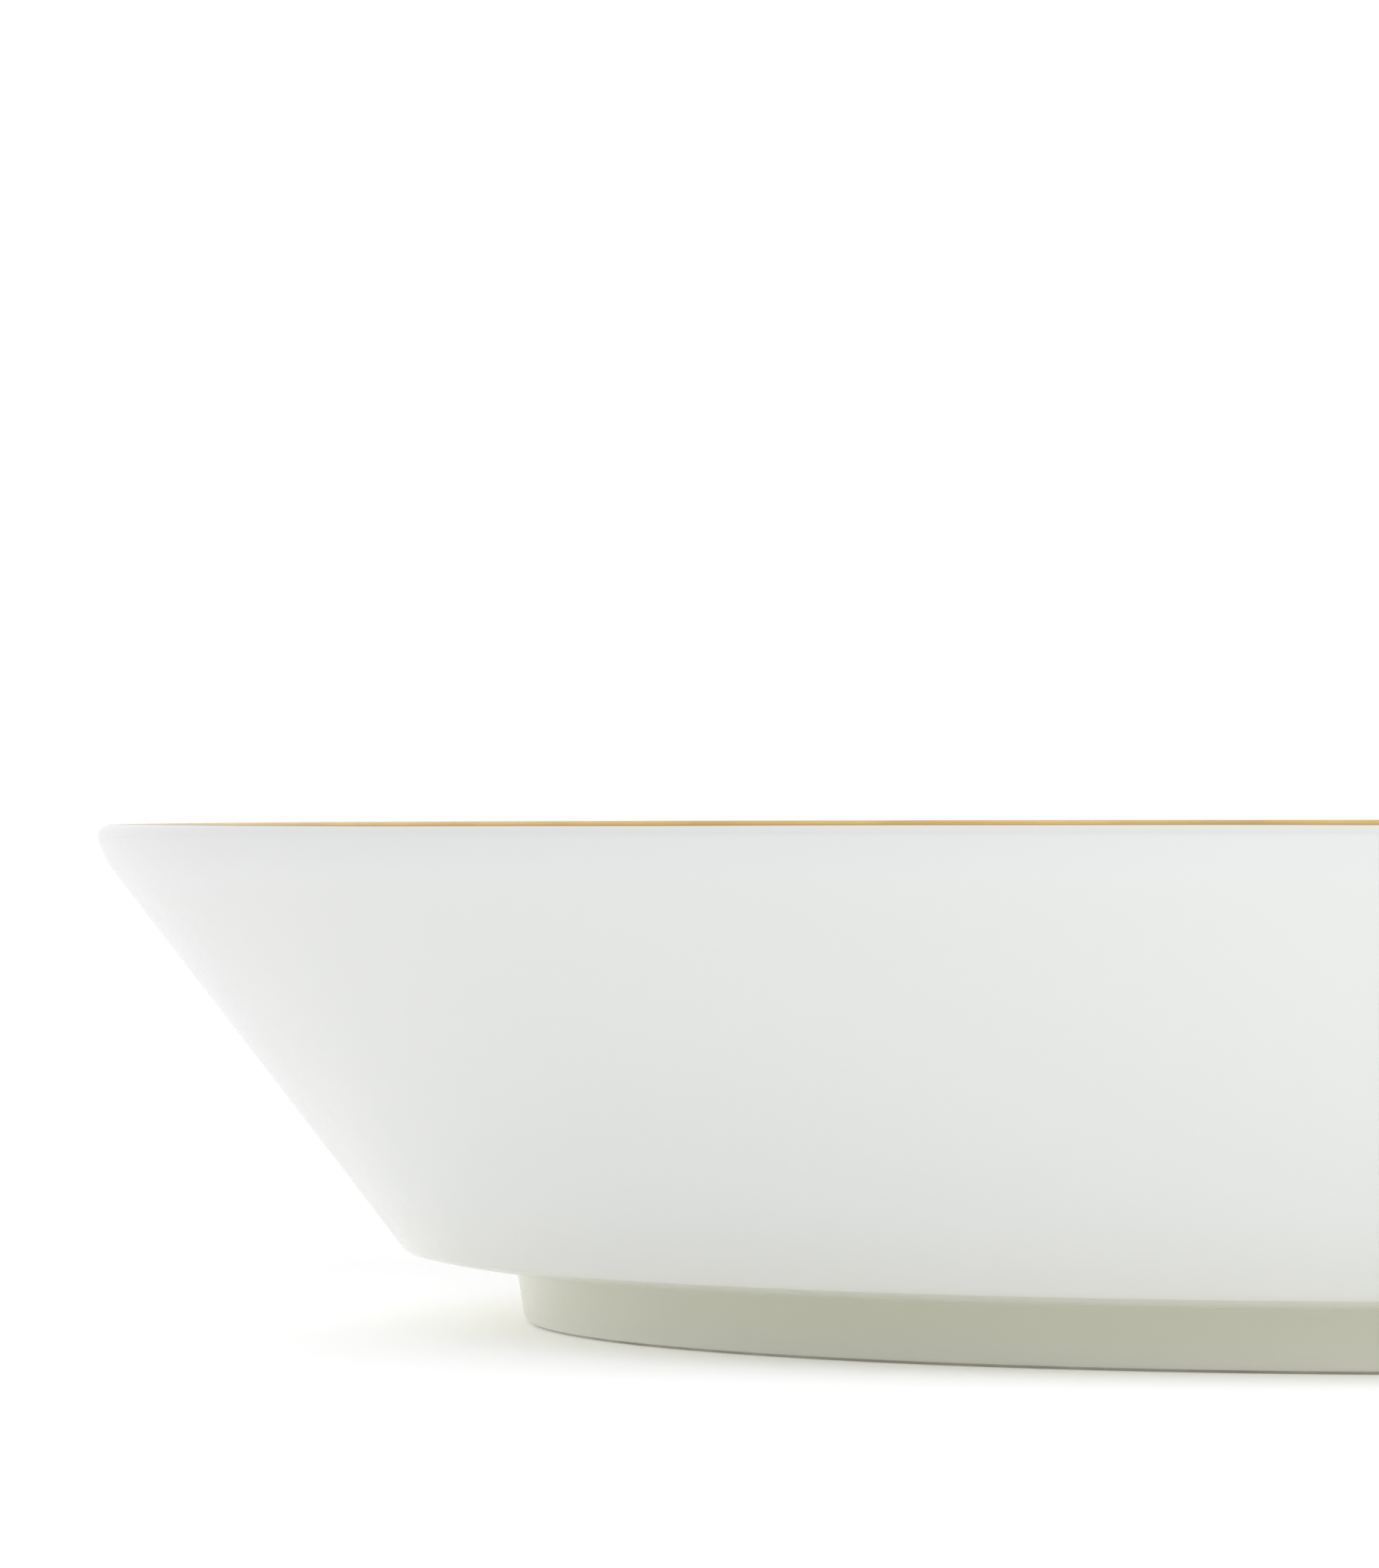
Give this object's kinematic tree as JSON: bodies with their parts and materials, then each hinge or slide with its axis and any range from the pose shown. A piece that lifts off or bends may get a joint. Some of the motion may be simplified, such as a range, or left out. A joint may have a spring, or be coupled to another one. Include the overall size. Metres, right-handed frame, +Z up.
{
  "type": "serving bowl",
  "caption": "Shallow round porcelain serving bowl with a straight flared wall, turned-under shoulder, low foot ring, flat well and a thin gilded lip.",
  "frame": {"origin": "on the table, at the centre of the foot ring's bearing edge", "axes": "+Z up out of the mouth, along the bowl's axis of revolution; X and Y are any two level directions"},
  "size_m": [0.28, 0.28, 0.0539],
  "materials": {
    "bare_porcelain": "matte",
    "slip": "matte",
    "porcelain_body": "matte",
    "clear_glaze": "gloss",
    "burnished_gold": "satin"
  },
  "bodies": {
    "root": {"foot_ring": "bare_porcelain", "luting_slip": "slip", "bowl_shell": "porcelain_body", "base_glaze": "clear_glaze", "outer_glaze": "clear_glaze", "inner_glaze": "clear_glaze", "rim_gilding": "burnished_gold"}
  },
  "joints": []
}
